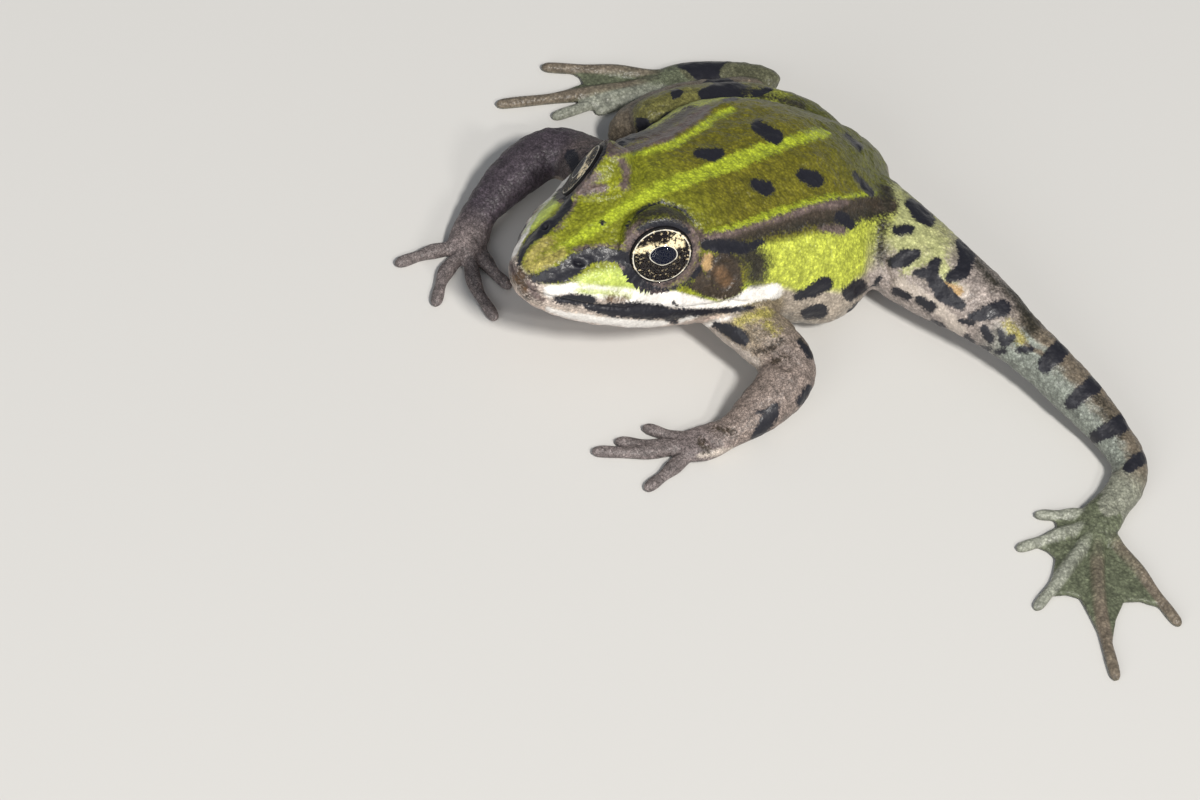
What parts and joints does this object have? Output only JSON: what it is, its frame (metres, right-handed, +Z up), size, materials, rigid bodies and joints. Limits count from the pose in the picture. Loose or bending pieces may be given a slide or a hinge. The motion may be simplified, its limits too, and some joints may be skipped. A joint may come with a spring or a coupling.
{
  "type": "edible frog",
  "caption": "Still, life-size frog that lies low on its belly, with hands on the floor, one hind leg stretched sideways and the other folded.",
  "frame": {"origin": "bottom centre of the bounding box, on the floor", "axes": "+Z up; the frog faces -Y; its left side, with the stretched hind leg, is +X"},
  "size_m": [0.104, 0.0596, 0.0222],
  "materials": {
    "skin_head": "wet skin, olive green with lime stripes",
    "skin_back": "wet skin, olive green with brown bands and dark spots",
    "skin_jaw": "wet skin, cream white",
    "skin_upper_arm": "wet skin, grey brown",
    "skin_forearm": "wet skin, grey brown with dark blotches",
    "skin_hand": "wet skin, grey brown",
    "skin_thigh": "wet skin, cream with dark blotches",
    "skin_shank": "wet skin, tan with dark bars",
    "skin_foot": "wet skin, grey green, webbed",
    "eye": "clear and glossy, dark with gold",
    "eardrum": "smooth skin, brown"
  },
  "bodies": {
    "root": {"head": "skin_head", "torso": "skin_back", "lower_jaw": "skin_jaw", "upper_arm_left": "skin_upper_arm", "upper_arm_right": "skin_upper_arm", "forearm_left": "skin_forearm", "forearm_right": "skin_forearm", "hand_left": "skin_hand", "hand_right": "skin_hand", "thigh_left": "skin_thigh", "thigh_right": "skin_thigh", "shank_left": "skin_shank", "shank_right": "skin_shank", "foot_left": "skin_foot", "foot_right": "skin_foot", "eye_left": "eye", "eye_right": "eye", "tympanum_left": "eardrum", "tympanum_right": "eardrum"}
  },
  "joints": []
}
